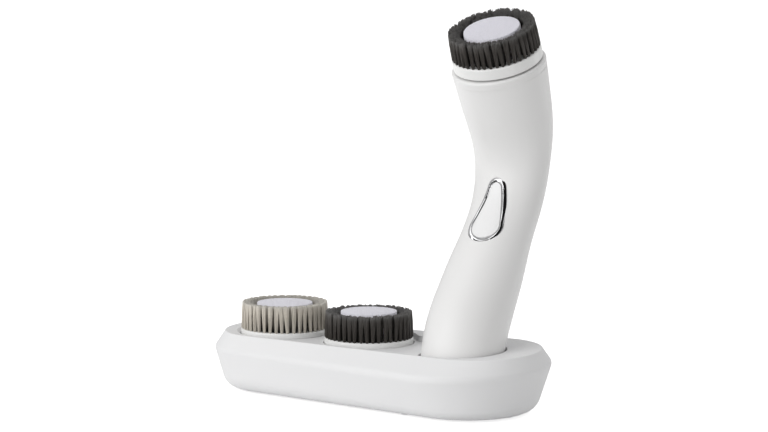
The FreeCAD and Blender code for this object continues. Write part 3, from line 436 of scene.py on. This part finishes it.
def outer_ring(ragged, seed):
    """Roots, tips, bow and U of the outer tufts: concentric rows of fanned bundles. U is the share of painted
    light; rows further in get a lower U, so the material paints shade on them.

    A tuft is a sunflower disc at its root and the same disc, TUFT_SPREAD times as wide, at its
    tips, which stand lower by TUFT_CROWN with the square of their distance from its middle.
    Tips are up to ragged lower than an even top would be, by the power 1.5 of a random share,
    and whole tufts up to half as much.
    """
    random = np.random.default_rng(seed)
    top = COLLAR_HEIGHT + BRISTLE_HEIGHT
    roots, tips, bows, painted_shades = [], [], [], []
    spots = sunflower(FILAMENTS, TUFT_R)
    crown = TUFT_CROWN * np.sum((spots / TUFT_R) ** 2, -1)[None, :, None]
    for radius, tufts, phase, shaded_u, lit_u, low in TUFT_ROWS:
        step = np.arange(tufts) + phase + random.normal(0, TUFT_SHIFT, tufts)
        angle = step * 2 * math.pi / tufts
        axis = np.stack([np.cos(angle), np.sin(angle)], -1)
        side = np.stack([-np.sin(angle), np.cos(angle)], -1)
        lean = random.normal(0, TUFT_LEAN, (tufts, 1)) * side
        lean = lean + random.normal(0, TUFT_LEAN / 2, (tufts, 1)) * axis
        local = axis[:, None, :] * spots[None, :, :1] + side[:, None, :] * spots[None, :, 1:]
        root = axis[:, None, :] * radius + local
        fan = local * TUFT_SPREAD + random.normal(0, FILAMENT_SCATTER, local.shape)
        tip = axis[:, None, :] * radius + fan + lean[:, None, :]
        reach = np.linalg.norm(tip, axis=-1, keepdims=True)
        tip = tip * np.minimum(1.0, (BRISTLE_TOP_R - TIP_MARGIN) / reach)
        height = top - low - crown - ragged * random.random((tufts, FILAMENTS, 1)) ** 1.5
        height = height - ragged / 2 * random.random((tufts, 1, 1))
        start = np.full((tufts, FILAMENTS, 1), COLLAR_HEIGHT - ROOT_DEPTH)
        roots.append(np.concatenate([root, start], -1).reshape(-1, 3))
        tips.append(np.concatenate([tip, height], -1).reshape(-1, 3))
        bow = axis[:, None, :] * TUFT_SWELL + random.normal(0, FILAMENT_BOW, local.shape)
        bows.append(np.concatenate([bow, np.zeros_like(start)], -1).reshape(-1, 3))
        # U from the row's range: lower further in, where the bristle material paints shade
        painted_shades.append(shaded_u + (lit_u - shaded_u) * random.random(tufts * FILAMENTS))
    return (np.concatenate(part) for part in (roots, tips, bows, painted_shades))


def inner_field(drop, seed):
    """Roots, tips, bow and U of the inner bristles: an even field, drop lower than the tufts.

    Its top falls by CORE_DOME with the square of the distance from the middle. No strand bows,
    and U, the share of painted light, is from 0.9 to 1, so painted shade darkens it by 0.04 at most.
    """
    random = np.random.default_rng(seed)
    count = int(math.pi * CORE_R**2 / (CORE_PITCH**2 * CORE_CELL))
    spots = sunflower(count, CORE_R - CORE_FILAMENT_R)
    spots = spots + random.normal(0, CORE_SCATTER, spots.shape)
    share = (np.linalg.norm(spots, axis=-1) / CORE_R) ** 2
    top = COLLAR_HEIGHT + BRISTLE_HEIGHT - drop - CORE_DOME * share
    height = (top - CORE_RAGGED * random.random(count))[:, None]
    start = np.full((count, 1), COLLAR_HEIGHT + CORE_START)
    roots = np.concatenate([spots, start], -1)
    tips = np.concatenate([spots + random.normal(0, CORE_SCATTER, spots.shape), height], -1)
    return roots, tips, np.zeros((count, 3)), 0.9 + 0.1 * random.random(count)


def tuft_plate(name, origin, axes):
    """Ring that the tufts stand in: a rectangle with a chamfer, turned about the head's axis."""
    angle = np.linspace(0, 2 * math.pi, PLATE_SIDES + 1)[:-1]
    around = np.stack([np.cos(angle), np.sin(angle)], -1)
    high = COLLAR_HEIGHT - PLATE_DROP
    low = high - PLATE_THICKNESS
    outline = np.array([[BRISTLE_INNER_R, low], [CHANNEL_R, low], [CHANNEL_R, high],
                        [BRISTLE_INNER_R + PLATE_CHAMFER, high],
                        [BRISTLE_INNER_R, high - PLATE_CHAMFER]])
    flat = around[:, None, :] * outline[None, :, :1]
    rise = np.broadcast_to(outline[None, :, 1:], (*flat.shape[:2], 1))
    return closed_grid(name, np.concatenate([flat, rise], -1) @ axes + origin, False)


def head_frame(name):
    """Origin of a head in millimetres, the middle of its base, and its three axes as rows."""
    if name == "fitted_head":
        spin = joint_named("head_spin")
        up = np.array(spin["axis"])
        across = np.cross([0.0, 1.0, 0.0], up)
        across = across / np.linalg.norm(across)
        origin = np.array(spin["pos_m"]) / MM + up * HEAD_GAP
        return origin, np.stack([across, np.cross(up, across), up])
    low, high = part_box(name + "_collar")
    return np.array([(low.x + high.x) / 2, (low.y + high.y) / 2, low.z]) / MM, np.eye(3)


def brush_head(name, outer_slot, drop, ragged, seed):
    """Both fields of bristles of one head, in place of their solids, and the tufts' plate.

    drop is how much lower the inner field is than the tufts, ragged how uneven their tips are.
    """
    origin, axes = head_frame(name)
    roots, tips, bows, shade = outer_ring(ragged, seed)
    ring = strands(name + "_tufts", roots @ axes + origin, tips @ axes + origin, FILAMENT_R,
                   bows @ axes, BOWED, shade, seed)
    finished(ring, FINISHES[outer_slot], name, outer_slot, name + "_outer_bristles")
    roots, tips, bows, shade = inner_field(drop, seed + 1)
    field = strands(name + "_core", roots @ axes + origin, tips @ axes + origin, CORE_FILAMENT_R,
                    bows @ axes, STRAIGHT, shade, seed + 2)
    finished(field, FINISHES["bristle_pale"], name, "bristle_pale", name + "_inner_bristles")
    plate = tuft_plate(name + "_tuft_plate", origin, axes)
    finished(plate, FINISHES["collar_white"], name, "collar_white")


# ================================================================ plated ring
def triangles_of(node):
    """Corners of a solid's triangles in millimetres, one row per triangle."""
    mesh = frame["nodes"][node].data
    points = np.empty(len(mesh.vertices) * 3, dtype=np.float32)
    mesh.vertices.foreach_get("co", points)
    mesh.calc_loop_triangles()
    corners = np.empty(len(mesh.loop_triangles) * 3, dtype=np.int32)
    mesh.loop_triangles.foreach_get("vertices", corners)
    return points.astype(float).reshape(-1, 3)[corners.reshape(-1, 3)] / MM


def ring_outline(steps):
    """Points and outward directions of the teardrop: two arcs joined by their common tangents.

    Each point is its circle's radius along its direction, from a centre that moves from the upper
    circle's to the lower one's on a tangent, while the radius changes with it.
    """
    lean = math.asin((RING_LOW_R - RING_HIGH_R) / (RING_HIGH - RING_LOW))
    side = np.linspace(0, 1, steps)[1:-1]
    turn = np.concatenate([np.linspace(lean, math.pi - lean, steps),
                           np.full(len(side), math.pi - lean),
                           np.linspace(math.pi - lean, 2 * math.pi + lean, steps),
                           np.full(len(side), lean)])
    share = np.concatenate([np.zeros(steps), side, np.ones(steps), 1 - side])
    radius = RING_HIGH_R + (RING_LOW_R - RING_HIGH_R) * share
    centre = RING_HIGH + (RING_LOW - RING_HIGH) * share
    out = np.stack([np.cos(turn), np.sin(turn)], -1)
    return out * radius[:, None] + np.stack([centre * 0, centre], -1), out


def ring_section():
    """Distance from the outline and height over the handle, from the outer foot to the inner.

    The outer side falls from the crest by RING_SLOPE s + RING_STEEPER s squared at a distance s,
    and the inner lip is a quarter circle with a straight wall under it.
    """
    s = np.linspace(RING_SKIRT, 0.0, RING_SKIRT_STEPS)
    skirt = np.stack([s - RING_CREST, RING_PROUD - RING_SLOPE * s - RING_STEEPER * s**2], -1)
    turn = np.linspace(math.pi / 2, math.pi, RING_LIP_STEPS)
    lip = np.stack([RING_LIP * (1 + np.cos(turn)) - RING_WIDTH,
                    RING_PROUD - RING_LIP * (1 - np.sin(turn))], -1)
    return np.concatenate([skirt, lip, [[-RING_WIDTH, -RING_SINK]]])


def powers(across, along):
    """Products of powers of two arrays in FIT_UNIT, all that add up to FIT_DEGREE or less."""
    pairs = [(i, j) for i in range(FIT_DEGREE + 1) for j in range(FIT_DEGREE + 1 - i)]
    return np.stack([(across / FIT_UNIT) ** i * (along / FIT_UNIT) ** j for i, j in pairs], -1)


def plated_ring():
    """Ring of the button: its section carried round the teardrop, on the handle's front.

    The front's height over the plane that the button is pressed through is a polynomial, fitted
    to the housing's outward triangles in the strip about the ring.
    """
    out = -np.array(joint_named("button_press")["axis"])
    across = np.cross([0.0, 0.0, 1.0], out)
    across = across / np.linalg.norm(across)
    axes = np.stack([across, np.cross(out, across), out])
    solid = triangles_of("button_bezel").reshape(-1, 3) @ axes.T
    low, high = solid.min(axis=0), solid.max(axis=0)
    origin = np.array([(low[0] + high[0]) / 2, high[1] - RING_HIGH - RING_HIGH_R, 0.0])
    faces = triangles_of("handle_housing") @ axes.T - origin
    normal = np.cross(faces[:, 1] - faces[:, 0], faces[:, 2] - faces[:, 0])
    facing = normal[:, 2] > FRONT_FACING * np.linalg.norm(normal, axis=-1)
    middle = faces.mean(axis=1)
    near = (np.abs(middle[:, 0]) < RING_REACH) & (np.abs(middle[:, 1]) < 2 * RING_REACH)
    middle = middle[facing & near]
    weights = np.linalg.lstsq(powers(middle[:, 0], middle[:, 1]), middle[:, 2], rcond=None)[0]
    foot, outward = ring_outline(RING_STEPS)
    section = ring_section()
    flat = foot[:, None, :] + outward[:, None, :] * section[None, :, :1]
    rise = powers(flat[:, :, 0], flat[:, :, 1]) @ weights + section[None, :, 1]
    points = np.concatenate([flat, rise[:, :, None]], -1) + origin
    ring = closed_grid("button_ring", points @ axes)
    finished(ring, FINISHES["ring_chrome"], "handle", "ring_chrome", "button_bezel")


# ================================================================ floor, light and camera
def grey(shade):
    """A grey, with full opacity."""
    return rgba((shade, shade, shade))


def oblong(name, width, height, level=0.0):
    """Level rectangle about the middle, in millimetres: the corners of a unit square, scaled."""
    corners = np.array([[-0.5, -0.5], [0.5, -0.5], [0.5, 0.5], [-0.5, 0.5]])
    points = np.concatenate([corners * [width, height], np.full((4, 1), level)], -1)
    return new_piece(name, points, np.array([[0, 1, 2, 3]]))


def floor():
    """Pale floor that shows as white to the camera and keeps the object's soft shadow."""
    ground = oblong("floor", 2 * FLOOR_REACH, 2 * FLOOR_REACH, -FLOOR_DROP)
    look = material_look("floor")
    plain = look.node("BsdfDiffuse", {}, {"Color": grey(FLOOR_GREY)})
    glow = look.node("Emission", {}, {"Color": grey(1.0), "Strength": FLOOR_GLOW * look.seen()})
    both = look.node("AddShader", {}, {0: plain, 1: glow})
    ground.data.materials.append(look.closed_with(both))


def sky(strength):
    """Even light from all round, which the camera and reflections see as white."""
    look = Look(bpy.data.worlds.new("studio"), "OutputWorld")
    even = look.node("Background", {}, {"Color": grey(1.0), "Strength": strength})
    white = look.node("Background", {}, {"Color": grey(1.0), "Strength": 1.0})
    bpy.context.scene.world = look.closed_with(
        look.node("MixShader", {}, {0: look.seen(), 1: even, 2: white}))


def card(name, place, aim, width, height, shade):
    """Board in metres beside the object, black or grey, which only shiny surfaces see."""
    board = oblong(name, width / MM, height / MM)
    turn = (Vector(aim) - Vector(place)).to_track_quat("Z", "Y").to_matrix().to_4x4()
    turn.translation = Vector(place)
    board.data.transform(turn)
    look = material_look(name)
    face = look.node("Emission", {}, {"Color": grey(shade), "Strength": 1.0})
    board.data.materials.append(look.closed_with(face))
    board.visible_camera = False
    board.visible_diffuse = False
    board.visible_shadow = False
    board.visible_transmission = False


def softbox(name, place, aim, width, height, power):
    """Rectangular lamp in metres, aimed at a point."""
    lamp = bpy.data.lights.new(name, "AREA")
    lamp.shape = "RECTANGLE"
    lamp.size = width
    lamp.size_y = height
    lamp.energy = power
    made = bpy.data.objects.new(name, lamp)
    bpy.context.collection.objects.link(made)
    made.location = place
    made.rotation_euler = (Vector(aim) - Vector(place)).to_track_quat("-Z", "Y").to_euler()


def camera():
    """Long lens, a little above the stand, from the front right."""
    azimuth, elevation, distance = math.radians(35.0), math.radians(7.13), 1.5
    aim = Vector((0.0087, -0.0148, 0.0928))
    level = math.cos(elevation)
    back = Vector((math.sin(azimuth) * level, -math.cos(azimuth) * level, math.sin(elevation)))
    lens = bpy.data.cameras.new("camera")
    lens.sensor_width = 36.0
    lens.lens = 144.84
    lens.clip_end = 50.0
    made = bpy.data.objects.new("camera", lens)
    bpy.context.collection.objects.link(made)
    made.location = aim + back * distance
    made.rotation_euler = (-back).to_track_quat("-Z", "Y").to_euler()
    bpy.context.scene.camera = made


# ================================================================ the scene
dress_solids()
brush_head("fitted_head", "bristle_dark", drop=0.95, ragged=1.2, seed=11)
brush_head("dark_head", "bristle_dark", drop=0.1, ragged=1.2, seed=23)
brush_head("beige_head", "bristle_beige", drop=0.3, ragged=0.25, seed=37)
plated_ring()
floor()
sky(0.545)
# name, place, point aimed at, width, height and power
softbox("key", (-0.50, -1.58, 0.66), (0, 0, 0.08), 1.5, 1.2, 15.8)
softbox("overhead", (-0.30, -0.10, 1.50), (0, 0, 0.05), 1.6, 1.2, 3.2)
softbox("rim", (0.62, 0.92, 0.12), (0.05, 0, 0.14), 0.20, 0.20, 0.4)
# name, place, point faced, width, height and shade
card("upper right card", (0.66, -0.52, 1.00), (0.05, 0.0, 0.1), 1.8, 1.3, 0.01)
card("right card", (1.15, 0.05, 0.42), (0.05, 0.0, 0.1), 0.8, 0.7, 0.03)
card("low card", (-0.06, -0.47, 0.003), (-0.06, -0.47, 1.0), 0.62, 0.80, 0.02)
card("front card", (-0.26, -1.05, 0.40), (0.05, 0.0, 0.10), 0.72, 1.0, 0.02)
card("left card", (-1.15, 0.10, 0.35), (0.05, 0.0, 0.1), 2.4, 1.5, 0.38)
camera()
bpy.context.scene.view_settings.view_transform = "Standard"
